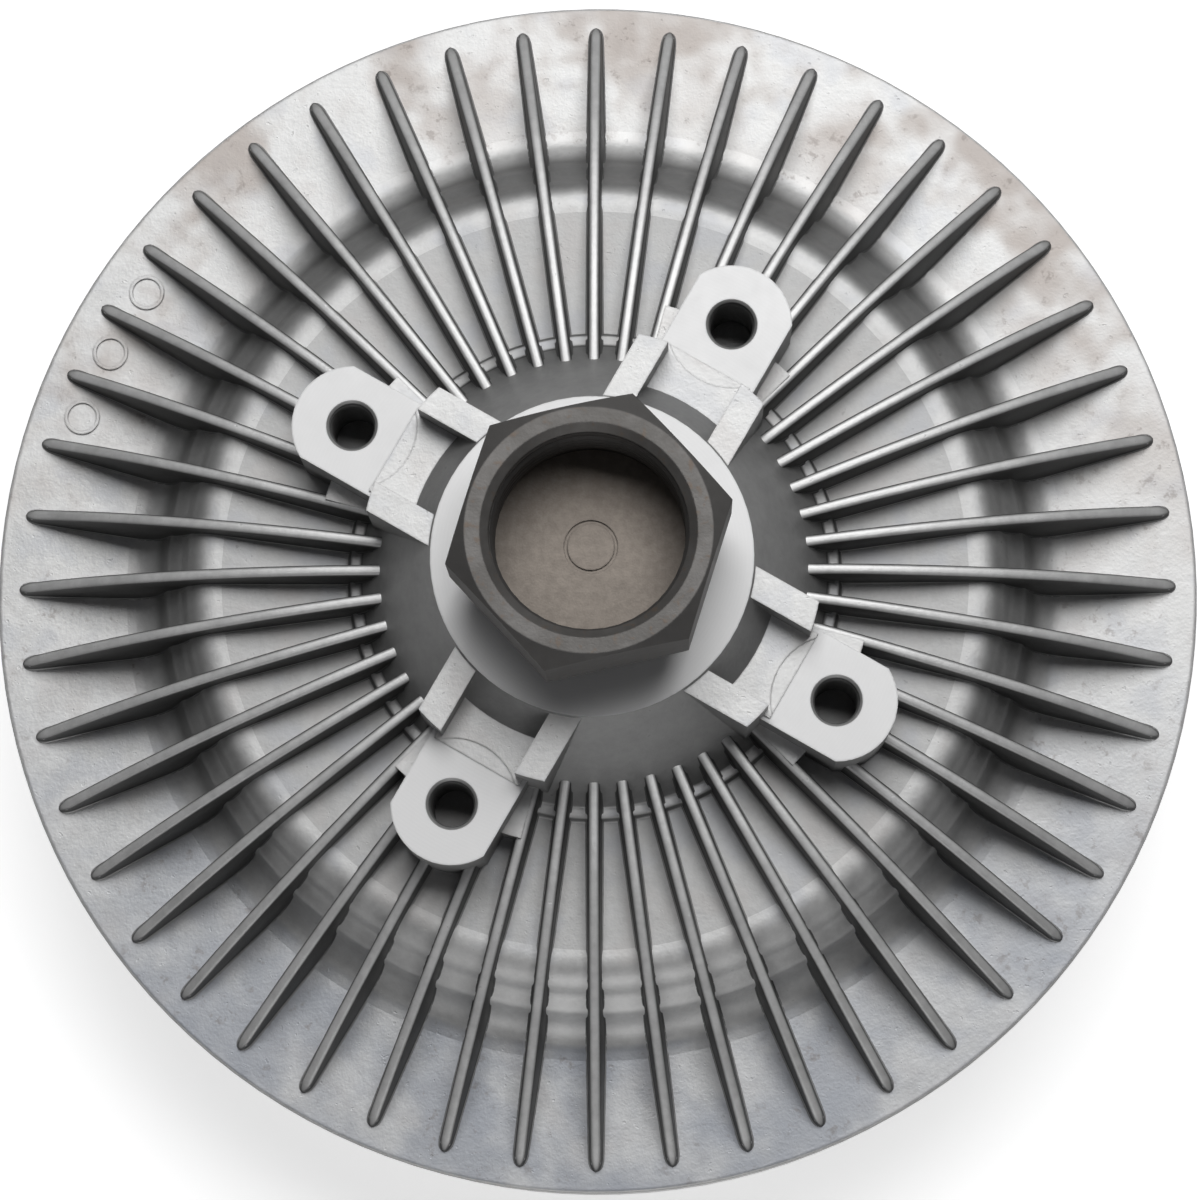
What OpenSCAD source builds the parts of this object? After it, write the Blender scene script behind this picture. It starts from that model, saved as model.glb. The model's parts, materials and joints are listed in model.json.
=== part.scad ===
// Viscous fan clutch: finned housing on a ball bearing, rotor, pump plate and bimetal valve.
// The clutch axis is Z. The front fins rest on z = 0 and the hexagon nut points up.

/* [Rim and joint] */
// Outer diameter of the rim
rim_d = 184; // [178:1:196]
// Wall of the rear casting
wall = 4; // [3.4:0.1:4.6]
// Radius of the rim's rear edge
rim_edge_r = 0.6; // [0.3:0.1:1.2]
// Thickness of the rim round the cover
skirt_wall = 5; // [4:0.25:6]
// Width of the step that the cover sits on
seat_w = 6.5; // [6:0.25:7.5]
// Thickness of the rolled lip
lip_t = 1.8; // [1.2:0.1:2.5]
// How far the rolled lip covers the cover's edge
lip_cover = 2.6; // [1.8:0.1:3.4]
// Diameter of the seal ring's section
seal_d = 2; // [1.6:0.1:2.2]

/* [Rear casting] */
// Diameter at the foot of the stepped wall
step_foot_d = 133.6; // [133:0.2:138]
// Diameter at the top of the stepped wall
step_top_d = 117.6; // [114:0.2:118]
// Height of the raised inner flat over the rim
step_h = 12.2; // [11:0.2:13.6]
// Height of the ledge in the stepped wall
ledge_h = 6.4; // [5:0.2:7.4]
// Diameter at the foot of the hub cone
hub_foot_d = 72; // [70:0.5:76]
// Height of the bead at the foot of the hub cone
bead_h = 1.2; // [0.8:0.1:1.8]
// Diameter of the machined boss face
boss_d = 47.4; // [44:0.2:50]
// Height of the boss face over the rim
boss_h = 31.6; // [29:0.2:34]
// Diameter of the raised rings on the rim
mark_d = 5.4; // [4:0.1:6]

/* [Rear fins] */
// Number of rear fins
fin_count = 48; // [40:4:48]
// Distance from the fin tips to the rim edge
fin_margin = 3.9; // [2.5:0.1:5]
// Fin height over the rim, at the hub
fin_h = 18.3; // [17:0.1:20]
// Fin height over the rim, at the tip
fin_tip_h = 1.1; // [0.8:0.1:2]
// Fin thickness at both ends of the crest
fin_crest_w = 1.5; // [1:0.05:1.8]
// Draft angle of a fin side
fin_draft = 2.4; // [1.5:0.1:3]

/* [Fan lugs] */
// Bolt circle of the fan
bolt_circle_d = 82.55; // [80:0.05:86]
// Bore of the tapped bolt holes
bolt_bore_d = 6.9; // [6:0.1:7.5]
// Depth of the bolt holes
bolt_depth = 14; // [11:0.5:16]
// Height of the fan seat over the rim
lug_h = 25.3; // [23.6:0.1:27]
// Width of a lug
lug_w = 15.8; // [15:0.2:17]
// Radius of a lug's outer end round its hole
lug_end_r = 9; // [8.6:0.1:9.8]
// Pilot diameter turned on the blocks
pilot_d = 67.6; // [66:0.2:69]
// Height of the pilot blocks over the fan seat
block_h = 5.9; // [4:0.1:6.2]
// Width of one pilot block
block_w = 4.4; // [3.6:0.1:5.4]
// Gap between the two blocks of a lug
block_gap = 12.4; // [11:0.1:14]
// Height of the lug plinth over the rim
plinth_h = 18.6; // [17.6:0.2:20.6]
// Radius to which the plinth reaches
plinth_reach = 41.6; // [40:0.2:44]

/* [Input shaft] */
// Width across flats of the hexagon
nut_af = 36; // [34:0.5:40]
// Height of the hexagon
nut_h = 13.9; // [12:0.1:17]
// Gap from the boss face to the hexagon
nut_gap = 9; // [8:0.1:12]
// Bore of the nut thread
thread_bore_d = 28.4; // [26:0.1:29]
// Depth of the nut bore
thread_depth = 15.2; // [13:0.1:16]
// Height of the round collar under the hexagon
collar_h = 4.4; // [3.8:0.1:5.5]
// Diameter of the shaft neck
neck_d = 23; // [22:0.2:24]

/* [Bearing] */
// Bore of the bearing
bearing_bore_d = 20; // [19.5:0.1:20.4]
// Outside diameter of the bearing
bearing_od = 47; // [46.6:0.1:48]
// Width of the bearing
bearing_w = 14; // [13.6:0.1:15]
// Ball diameter
ball_d = 7.94; // [7.6:0.02:8.1]
// Number of balls
ball_count = 8; // [6:1:9]
// Thickness of the boss wall behind the bearing
boss_web = 8; // [7:0.1:9]
// Thickness of the retaining ring
ring_t = 1.5; // [1.2:0.1:1.75]

/* [Rotor] */
// Thickness of the rotor disc
rotor_t = 6; // [5:0.1:7]
// Gap from the rotor to the casting and to the pump plate
shear_gap = 1; // [0.9:0.05:1.3]
// Gap from the rotor's edge to the chamber wall
rotor_edge_gap = 2; // [1:0.1:3]
// Thickness of one annular land
land_w = 1.6; // [1.3:0.05:1.9]
// Gap between neighbouring lands
land_gap = 0.5; // [0.4:0.02:0.7]
// Depth of the lands
land_h = 6.2; // [5:0.1:7]
// Diameter of the shaft's rotor seat
seat_d = 17; // [16:0.1:18]

/* [Front cover] */
// Wall of the cover
cover_wall = 4; // [3.4:0.1:5]
// Thickness of the cover's flange
flange_t = 4; // [3.6:0.1:5]
// Diameter of the fluid reservoir
reservoir_d = 132; // [126:0.5:134]
// Depth of the fluid reservoir
reservoir_h = 8.8; // [8.2:0.1:11]
// Number of cover fins
cover_fin_count = 40; // [32:4:48]
// Height of the cover fins over the dome
cover_fin_h = 8; // [7.8:0.1:10]
// Cover fin thickness at the crest
cover_fin_crest_w = 1.4; // [1.1:0.05:1.8]
// Cover fin thickness at the root
cover_fin_root_w = 2.6; // [2.2:0.05:3]
// Diameter of the clear space round the coil
coil_space_d = 62; // [61:0.5:66]

/* [Pump plate and valve] */
// Thickness of the pump plate
plate_t = 1.2; // [1:0.05:1.5]
// Width of the ledge that the pump plate sits on
ledge_w = 5; // [4.6:0.1:5.4]
// Number of plate rivets
rivet_count = 6; // [4:1:8]
// Rivet shank diameter
rivet_d = 2; // [1.6:0.1:2.4]
// Length of a fluid wiper
wiper_l = 8; // [6:0.5:10]
// Width of a fluid wiper
wiper_w = 3; // [2:0.25:4]
// Radius from the axis to the valve port
port_r = 46; // [40:0.5:50]
// Diameter of the valve port
port_d = 7; // [5:0.1:9]
// Thickness of the valve arm
arm_t = 0.8; // [0.6:0.05:1.1]
// Width of the valve arm
arm_w = 9; // [7:0.2:11]
// Diameter of the valve shaft
valve_d = 7; // [6.8:0.05:7.4]
// Wall of the valve shaft bush
bush_wall = 2; // [1.5:0.1:2.5]
// Direction of the valve arm at rest
arm_angle = 200; // [0:5:355]

/* [Bimetal coil] */
// Thickness of the bimetal strip
strip_t = 0.9; // [0.7:0.05:1.1]
// Width of the bimetal strip
strip_w = 5; // [4:0.1:5.2]
// Number of turns
coil_turns = 6; // [4:1:6]
// Spacing of the turns
coil_pitch = 2.6; // [2.2:0.05:2.65]
// Direction of the post that holds the coil's outer end
post_angle = 320; // [0:5:355]

/* [Hidden] */
$fn = 96;
cover_fit = 0.1;
plate_fit = 0.1;
valve_fit = 0.04;
slot_fit = 0.15;
ball_gap = 0.12;
seal_gap = 0.15;
arm_gap = 0.1;
ring_fit = 0.05;
embed = 1;

rim_r = rim_d / 2;
step_foot_r = step_foot_d / 2;
step_top_r = step_top_d / 2;
hub_foot_r = hub_foot_d / 2;
boss_r = boss_d / 2;
bolt_r = bolt_circle_d / 2;
bearing_r = bearing_od / 2;
bore_r = bearing_bore_d / 2;
neck_r = neck_d / 2;
reservoir_r = reservoir_d / 2;
valve_r = valve_d / 2;

// Heights, from the fin crests of the cover up to the nut
dome_z = cover_fin_h;
pool_z = dome_z + cover_wall;
plate_front_z = pool_z + reservoir_h;
seat_z = plate_front_z + plate_t;
rotor_front_z = seat_z + shear_gap;
rotor_rear_z = rotor_front_z + rotor_t;
floor_z = rotor_rear_z + shear_gap;
rim_z = floor_z + wall;
flange_z = seat_z - flange_t;
lip_z = flange_z - lip_t;
flat_z = rim_z + step_h;
raised_floor_z = flat_z - wall;
lug_z = rim_z + lug_h;
block_z = lug_z + block_h;
boss_z = rim_z + boss_h;
bearing_top_z = boss_z - boss_web;
bearing_z = bearing_top_z - bearing_w;
hex_z = boss_z + nut_gap;
nut_z = hex_z + nut_h;
thread_z = nut_z - thread_depth;

// Radii that follow from others
flange_bore_r = rim_r - skirt_wall;
chamber_r = flange_bore_r - seat_w;
rotor_r = chamber_r - rotor_edge_gap;
flange_r = flange_bore_r - cover_fit;
lip_in_r = flange_bore_r - lip_cover;
raised_r = step_top_r - 0.7 * wall;
tube_r = bearing_r + 5;
tube_z = bearing_z - ring_t - 1.9;
neck_hole_r = neck_r + 0.7;
plate_r = reservoir_r + ledge_w;
dome_r = reservoir_r + cover_wall;
fin_tip_r = rim_r - fin_margin;
fin_in_r = hub_foot_r - 5;
fin_run = fin_tip_r - fin_in_r;
fin_reach = 4;
land_pitch = 2 * (land_w + land_gap);
land_in_r = tube_r + 3;
land_count = floor((raised_r - 0.8 - land_in_r + land_gap) / land_pitch);
pedestal_z = raised_floor_z - land_gap - land_h;
pitch_r = (bearing_r + bore_r) / 2;
ball_r = ball_d / 2;
ball_z = bearing_z + bearing_w / 2;
shoulder = 0.8 * ball_r;
seal_t = 1.1;
coil_front_z = 1.6;
coil_r0 = valve_r + 1.5;
coil_end_r = coil_r0 + coil_turns * coil_pitch;
post_r = 3.4;
post_x = coil_space_d / 2 - post_r - 1;
bush_r = valve_r + valve_fit + bush_wall;
bush_top_z = pool_z + 4;
arm_z = plate_front_z - arm_gap - arm_t;
stub_r = valve_r - 0.9;
clip_t = 0.7;
clip_z = dome_z - clip_t - 0.3;
groove_r = valve_r - 1.1;
groove_z = pool_z - 1;
wiper_r = reservoir_r - 0.75 * wiper_l;
rivet_r = reservoir_r + ledge_w / 2;

// Points of an arc of radius r that rounds the corner b between a and c
function corner(a, b, c, r) =
    let (u = (a - b) / norm(a - b),
         v = (c - b) / norm(c - b),
         half = acos(u * v) / 2,
         m = b + (u + v) / norm(u + v) * r / sin(half),
         p = b + u * r / tan(half),
         q = b + v * r / tan(half),
         start = atan2(p[1] - m[1], p[0] - m[0]),
         end = atan2(q[1] - m[1], q[0] - m[0]),
         turn = (end - start + 540) % 360 - 180)
    [for (i = [0 : 4]) m + r * [cos(start + turn * i / 4), sin(start + turn * i / 4)]];

// Outline from [x, y, corner radius] rows, with the rounded corners as arcs
function rounded(rows) =
    let (n = len(rows),
         p = [for (row = rows) [row[0], row[1]]])
    [for (i = [0 : n - 1])
        each rows[i][2] == 0 ? [p[i]] : corner(p[(i + n - 1) % n], p[i], p[(i + 1) % n], rows[i][2])];

module ring(r_in, r_out, z_low, z_high) {
    rotate_extrude()
        translate([r_in, z_low])
            square([r_out - r_in, z_high - z_low]);
}

module turned(rows) {
    rotate_extrude()
        polygon(rounded(rows));
}

// A slab along X with drafted sides: root_w thick at z_root and crest_w thick at z_crest
module drafted_slab(x_in, x_out, root_w, z_root, crest_w, z_crest) {
    slope = (root_w - crest_w) / 2 / (z_crest - z_root);
    z_low = z_root - 2 * sign(z_crest - z_root);
    half_low = root_w / 2 + slope * (z_root - z_low);
    translate([x_in, 0, 0])
        rotate([90, 0, 90])
            linear_extrude(x_out - x_in)
                polygon([[-half_low, z_low], [half_low, z_low],
                    [crest_w / 2, z_crest], [-crest_w / 2, z_crest]]);
}

// One side of a rear fin: a block whose face leans with the draft and closes in towards the tip
module fin_side() {
    lean = tan(fin_draft);
    close = lean * (fin_h - fin_tip_h) / fin_run;
    turn = atan(close);
    tilt = atan(lean * cos(turn));
    translate([fin_in_r, fin_crest_w / 2, rim_z + fin_h])
        rotate([tilt, 0, -turn])
            translate([-fin_run / 3, -2 * fin_reach, -2 * fin_h])
                cube([2 * fin_run, 2 * fin_reach, 3 * fin_h]);
}

module rear_fin() {
    drop = fin_h - fin_tip_h;
    crest_r = (fin_run * fin_run + drop * drop) / (2 * drop);
    intersection() {
        fin_side();
        mirror([0, 1, 0])
            fin_side();
        // crest curve, and a foot that stays inside the casting's wall
        rotate([90, 0, 0])
            linear_extrude(2 * fin_reach, center = true)
                intersection() {
                    polygon([[fin_tip_r, rim_z - embed], [fin_tip_r, rim_z + fin_h + 1],
                        [fin_in_r - 4, rim_z + fin_h + 1], [fin_in_r - 4, flat_z - embed],
                        [step_top_r - 1.5, flat_z - embed], [step_foot_r - 2.5, rim_z - embed]]);
                    translate([fin_in_r, rim_z + fin_h - crest_r])
                        circle(crest_r, $fn = 360);
                }
        // pointed tip
        translate([0, 0, rim_z - 2 * embed])
            linear_extrude(fin_h + 4 * embed)
                polygon([
                    [fin_in_r - 6, -fin_reach], [fin_tip_r - 6, -fin_reach],
                    [fin_tip_r + 0.1, -fin_crest_w / 5], [fin_tip_r + 0.1, fin_crest_w / 5],
                    [fin_tip_r - 6, fin_reach], [fin_in_r - 6, fin_reach]
                ]);
    }
}

module fan_lug() {
    cone_x = boss_r + 1;
    edge_x = pilot_d / 2 + 0.3;
    // plinth that fills the gaps up to the neighbouring fins
    rotate(-720 / fin_count)
        rotate_extrude(angle = 1440 / fin_count)
            translate([cone_x, flat_z - embed])
                square([plinth_reach - cone_x, rim_z + plinth_h - flat_z + embed]);
    // lug body up to the fan seat
    translate([cone_x, -lug_w / 2, flat_z - embed])
        cube([bolt_r - cone_x, lug_w, lug_z - flat_z + embed]);
    intersection() {
        translate([bolt_r, 0, flat_z - embed])
            cylinder(r = lug_end_r, h = lug_z - flat_z + embed);
        translate([bolt_r - 1, -lug_w / 2, flat_z - 2 * embed])
            cube([lug_end_r + 2, lug_w, lug_z - flat_z + 3 * embed]);
    }
    // floor of the channel between the blocks, with the edge of the seat's cutter in it
    difference() {
        translate([cone_x, -block_gap / 2 - 1, lug_z - 1])
            cube([edge_x - cone_x, block_gap + 2, 1.35]);
        translate([bolt_r, 0, lug_z + 0.15])
            cylinder(r = lug_end_r + 0.7, h = 2);
    }
    // pilot blocks, which run in to the boss and stay clear of the bearing seat under it
    difference() {
        intersection() {
            for (side = [-1, 1])
                translate([boss_r - block_w, side * (block_gap + block_w) / 2 - block_w / 2, flat_z])
                    cube([pilot_d, block_w, block_z - flat_z]);
            cylinder(d = pilot_d, h = block_z);
        }
        cylinder(r = cone_x, h = bearing_top_z + 0.3 * boss_web);
    }
}

module rear_housing() color([0.72, 0.72, 0.70]) {
    difference() {
        union() {
            turned([
                [rim_r, lip_z, 1.1], [rim_r, rim_z, rim_edge_r],
                [step_foot_r, rim_z, 4.4],
                [step_foot_r - 1.6, rim_z + ledge_h - 0.5, 3.3],
                [step_top_r + 3.5, rim_z + ledge_h + 0.4, 2.2],
                [step_top_r + 1.6, flat_z, 5.6],
                [hub_foot_r + 1.2, flat_z, 0.5],
                [hub_foot_r + 0.8, flat_z + bead_h, 0.5],
                [hub_foot_r - 0.8, flat_z + bead_h + 0.1, 0.6],
                [boss_r, boss_z, 0],
                [neck_hole_r, boss_z, 0], [neck_hole_r, bearing_top_z, 0],
                [bearing_r, bearing_top_z, 0], [bearing_r, tube_z, 0],
                [tube_r, tube_z, 0.6], [tube_r, raised_floor_z, 0.8],
                [raised_r, raised_floor_z, 1.2], [raised_r + 2.4, floor_z, 1],
                [chamber_r, floor_z, 0.8], [chamber_r, seat_z, 0],
                [flange_bore_r, seat_z, 0], [flange_bore_r, flange_z, 0],
                [lip_in_r, flange_z, 0], [lip_in_r + 0.6, lip_z, 0.6]
            ]);
            for (i = [0 : land_count - 1]) {
                r = land_in_r + i * land_pitch + land_w + land_gap;
                ring(r, r + land_w, pedestal_z + land_gap, raised_floor_z + embed);
            }
            for (i = [0 : fin_count - 1])
                rotate(90 + i * 360 / fin_count)
                    rear_fin();
            for (a = [60 : 90 : 330])
                rotate(a)
                    fan_lug();
            for (i = [0 : 2])
                rotate(142.5 + (i + 0.5) * 7.5)
                    translate([rim_r - 8, 0, 0])
                        ring(mark_d / 2 - 0.5, mark_d / 2, rim_z - 0.5, rim_z + 0.3);
        }
        for (a = [60 : 90 : 330])
            rotate(a)
                translate([bolt_r, 0, 0]) {
                    translate([0, 0, lug_z - bolt_depth])
                        cylinder(d = bolt_bore_d, h = bolt_depth + 1);
                    translate([0, 0, lug_z - 0.4])
                        cylinder(r1 = bolt_bore_d / 2, r2 = bolt_bore_d / 2 + 0.5, h = 0.5);
                }
        ring(bearing_r - 1, bearing_r + 1.2, bearing_z - ring_t - 2 * ring_fit, bearing_z);
    }
}

module input_shaft() color([0.33, 0.31, 0.30]) {
    corner_r = nut_af / 2 / cos(30);
    face_r = nut_af / 2 - 0.4;
    difference() {
        union() {
            intersection() {
                rotate(12.6)
                    translate([0, 0, hex_z])
                        cylinder(r = corner_r, h = nut_h, $fn = 6);
                turned([
                    [0, hex_z, 0], [corner_r - 0.4, hex_z, 0], [corner_r + 1, hex_z + 0.8, 0],
                    [corner_r + 1, nut_z - (corner_r + 1 - face_r) * tan(30), 0],
                    [face_r, nut_z, 0], [0, nut_z, 0]
                ]);
            }
            turned([
                [0, rotor_front_z + 0.3, 0], [seat_d / 2 - 0.8, rotor_front_z + 0.3, 0],
                [seat_d / 2, rotor_front_z + 1.1, 0], [seat_d / 2, bearing_z, 0],
                [bore_r, bearing_z, 0], [bore_r, bearing_top_z, 0],
                [neck_r, bearing_top_z, 0], [neck_r, hex_z - collar_h - 1.2, 1.2],
                [nut_af / 2 - 1.6, hex_z - collar_h, 0.8], [nut_af / 2 - 1.6, hex_z + 1, 0],
                [0, hex_z + 1, 0]
            ]);
        }
        translate([0, 0, thread_z])
            cylinder(d = thread_bore_d, h = thread_depth + 1);
        translate([0, 0, nut_z - 1.2])
            cylinder(r1 = thread_bore_d / 2, r2 = thread_bore_d / 2 + 1.2, h = 1.2);
        ring(3.4, 3.9, thread_z - 0.3, thread_z + 0.1);
    }
}

module bearing_outer_race() color([0.62, 0.63, 0.65]) {
    difference() {
        ring(pitch_r + shoulder, bearing_r, bearing_z, bearing_top_z);
        rotate_extrude()
            translate([pitch_r, ball_z])
                circle(ball_r + ball_gap);
        for (z = [bearing_z, bearing_top_z - seal_t - 0.1])
            ring(pitch_r, bearing_r - 2.5, z, z + seal_t + 0.1);
    }
}

module bearing_inner_race() color([0.62, 0.63, 0.65]) {
    difference() {
        ring(bore_r, pitch_r - shoulder, bearing_z, bearing_top_z);
        rotate_extrude()
            translate([pitch_r, ball_z])
                circle(ball_r + ball_gap);
    }
}

module bearing_balls() color([0.8, 0.8, 0.82]) {
    for (i = [0 : ball_count - 1])
        rotate(i * 360 / ball_count)
            translate([pitch_r, 0, ball_z])
                sphere(ball_r);
}

module bearing_cage() color([0.55, 0.47, 0.3]) {
    difference() {
        ring(pitch_r - 0.9, pitch_r + 0.9, ball_z - ball_r - 1.2, ball_z + ball_r + 1.2);
        for (i = [0 : ball_count - 1])
            rotate(i * 360 / ball_count)
                translate([pitch_r - 3, 0, ball_z])
                    rotate([0, 90, 0])
                        cylinder(r = ball_r + ball_gap, h = 6);
    }
}

module bearing_seal_rear() color([0.12, 0.12, 0.12]) {
    ring(pitch_r - shoulder + seal_gap, bearing_r - 2.5, bearing_top_z - seal_t - 0.1, bearing_top_z - 0.1);
}

module bearing_seal_front() color([0.12, 0.12, 0.12]) {
    ring(pitch_r - shoulder + seal_gap, bearing_r - 2.5, bearing_z + 0.1, bearing_z + seal_t + 0.1);
}

module bearing_ring() color([0.3, 0.3, 0.32]) {
    low = bearing_z - ring_t - ring_fit;
    difference() {
        ring(bearing_r - 2.4, bearing_r + 1.2 - ring_fit, low, low + ring_t);
        rotate(30)
            translate([bearing_r - 4, -4.5, low - 1])
                cube([8, 9, ring_t + 2]);
    }
}

module rotor() color([0.66, 0.67, 0.68]) {
    hub_r = pitch_r - shoulder - 0.8;
    difference() {
        union() {
            turned([
                [seat_d / 2, rotor_front_z, 0], [rotor_r, rotor_front_z, 0.5], [rotor_r, rotor_rear_z, 0.5],
                [land_in_r + land_count * land_pitch - land_w - 2 * land_gap, rotor_rear_z, 0.6],
                [land_in_r + land_count * land_pitch - land_w - 2 * land_gap, pedestal_z, 0],
                [land_in_r, pedestal_z, 0], [land_in_r, rotor_rear_z, 1],
                [hub_r, rotor_rear_z, 1.5], [hub_r, bearing_z, 0], [seat_d / 2, bearing_z, 0]
            ]);
            for (i = [0 : land_count - 1]) {
                r = land_in_r + i * land_pitch;
                ring(r, r + land_w, pedestal_z - embed, raised_floor_z - land_gap);
            }
        }
        for (i = [0 : 5])
            rotate(i * 60)
                translate([(hub_r + land_in_r) / 2, 0, rotor_front_z - 1])
                    cylinder(d = 7, h = rotor_t + 2);
    }
}

module cover_fin() {
    flat_r = dome_r - 12;
    tip_r = lip_in_r - 3.4;
    drop = flange_z - 4;
    run = tip_r - flat_r;
    round_r = (run * run + drop * drop) / (2 * drop);
    intersection() {
        drafted_slab(coil_space_d / 2, tip_r, cover_fin_root_w, flange_z, cover_fin_crest_w, -0.2);
        rotate([90, 0, 0])
            linear_extrude(2 * cover_fin_root_w + 2, center = true)
                difference() {
                    union() {
                        translate([coil_space_d / 2, 0])
                            square([flat_r - coil_space_d / 2, dome_z + embed]);
                        intersection() {
                            translate([flat_r, 0])
                                square([run, flange_z + embed]);
                            translate([flat_r, round_r])
                                circle(round_r, $fn = 360);
                        }
                    }
                    translate([0, dome_z + embed])
                        square([dome_r - embed, flange_z]);
                }
    }
}

module front_cover() color([0.7, 0.7, 0.69]) {
    groove_low = seat_z - seal_d;
    seal_r = (chamber_r + flange_r) / 2;
    difference() {
        union() {
            turned([
                [bush_r, dome_z, 0], [dome_r, dome_z, 3], [dome_r, flange_z, 1.2], [flange_r, flange_z, 0],
                [flange_r, seat_z, 0], [plate_r + plate_fit, seat_z, 0],
                [plate_r + plate_fit, plate_front_z, 0],
                [reservoir_r, plate_front_z, 0], [reservoir_r, pool_z, 2.5],
                [bush_r + 4, pool_z, 1.5], [bush_r + 3, bush_top_z, 0.8], [bush_r, bush_top_z, 0]
            ]);
            for (i = [0 : cover_fin_count - 1])
                rotate((i + 0.5) * 360 / cover_fin_count)
                    cover_fin();
            rotate(post_angle)
                translate([post_x, 0, coil_front_z - 0.6])
                    cylinder(r = post_r, h = dome_z - coil_front_z + 0.6 + embed);
        }
        rotate(post_angle)
            translate([post_x - post_r - 1, -strip_t / 2 - slot_fit, coil_front_z - 1])
                cube([2 * post_r + 0.4, strip_t + 2 * slot_fit, strip_w + 1 + slot_fit]);
        ring(seal_r - seal_d * 0.65, seal_r + seal_d * 0.65, groove_low, seat_z + 1);
        for (i = [0 : rivet_count - 1])
            rotate(i * 360 / rivet_count)
                translate([rivet_r, 0, plate_front_z - 1.2 * rivet_d])
                    cylinder(d = rivet_d, h = 2 * rivet_d);
    }
}

module cover_seal_ring() color([0.1, 0.1, 0.1]) {
    rotate_extrude()
        translate([(chamber_r + flange_r) / 2, seat_z - seal_d / 2])
            circle(seal_d / 2 - 0.02);
}

module pump_plate() color([0.6, 0.61, 0.63]) {
    difference() {
        ring(valve_r + 3, plate_r, plate_front_z, seat_z);
        rotate(arm_angle)
            translate([port_r, 0, plate_front_z - 1])
                cylinder(d = port_d, h = plate_t + 2);
        for (a = [70, 250])
            rotate(a) {
                translate([wiper_r - wiper_l / 2 - plate_fit, -wiper_w / 2 - plate_fit, plate_front_z - 1])
                    cube([wiper_l + 2 * plate_fit, wiper_w + 2 * plate_fit, plate_t + 2]);
                translate([wiper_r, wiper_w / 2 + 3.5, plate_front_z - 1])
                    cylinder(d = wiper_w, h = plate_t + 2);
            }
        for (i = [0 : rivet_count - 1])
            rotate(i * 360 / rivet_count)
                translate([rivet_r, 0, plate_front_z - 1])
                    cylinder(d = rivet_d, h = plate_t + 2);
    }
}

module plate_rivets() color([0.75, 0.75, 0.76]) {
    for (i = [0 : rivet_count - 1])
        rotate(i * 360 / rivet_count)
            translate([rivet_r, 0, plate_front_z - 1.2 * rivet_d]) {
                cylinder(d = rivet_d, h = plate_t + 1.2 * rivet_d);
                translate([0, 0, plate_t + 1.2 * rivet_d])
                    cylinder(r1 = rivet_d, r2 = 0.8 * rivet_d, h = 0.2 * rivet_d);
            }
}

module fluid_wipers() color([0.85, 0.83, 0.76]) {
    for (a = [70, 250])
        rotate(a)
            translate([wiper_r - wiper_l / 2, -wiper_w / 2, plate_front_z])
                cube([wiper_l, wiper_w, plate_t + 0.55]);
}

module valve_arm() color([0.68, 0.66, 0.6]) {
    rotate(arm_angle)
        translate([0, 0, arm_z])
            difference() {
                union() {
                    cylinder(r = valve_r + 4, h = arm_t);
                    translate([0, -arm_w / 2, 0])
                        cube([port_r, arm_w, arm_t]);
                    translate([port_r, 0, 0])
                        cylinder(r = max(port_d, arm_w) / 2 + 1.2, h = arm_t);
                }
                translate([0, 0, -1])
                    cylinder(r = stub_r, h = arm_t + 2);
            }
}

module valve_shaft() color([0.7, 0.7, 0.72]) {
    difference() {
        turned([
            [0, coil_front_z - 0.4, 0], [valve_r, coil_front_z - 0.4, 0.4],
            [valve_r, clip_z - 0.05, 0], [groove_r, clip_z - 0.05, 0], [groove_r, clip_z + clip_t + 0.05, 0],
            [valve_r, clip_z + clip_t + 0.05, 0],
            [valve_r, groove_z, 0], [groove_r, groove_z, 0], [groove_r, groove_z + 2, 0],
            [valve_r, groove_z + 2, 0],
            [valve_r, arm_z, 0], [stub_r, arm_z, 0], [stub_r, arm_z + arm_t, 0],
            [stub_r + 0.9, arm_z + arm_t, 0], [stub_r + 0.5, arm_z + arm_t + 0.7, 0],
            [0, arm_z + arm_t + 0.7, 0]
        ]);
        rotate(post_angle)
            translate([-valve_r - 1, -strip_t / 2 - slot_fit, coil_front_z - 1])
                cube([2 * valve_r + 2, strip_t + 2 * slot_fit, strip_w + 1 + slot_fit]);
    }
}

module valve_shaft_o_ring() color([0.08, 0.08, 0.08]) {
    section_r = (valve_r + valve_fit - groove_r) / 2;
    rotate_extrude()
        translate([groove_r + section_r, groove_z + 1])
            circle(section_r - 0.01);
}

module valve_shaft_bush() color([0.7, 0.55, 0.3]) {
    ring(valve_r + valve_fit, bush_r, dome_z, bush_top_z);
}

module valve_shaft_clip() color([0.4, 0.4, 0.42]) {
    difference() {
        ring(groove_r, valve_r + 2.2, clip_z, clip_z + clip_t);
        rotate(post_angle + 90)
            translate([0, -groove_r + 0.3, clip_z - 1])
                cube([valve_r + 4, 2 * groove_r - 0.6, clip_t + 2]);
    }
}

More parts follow.
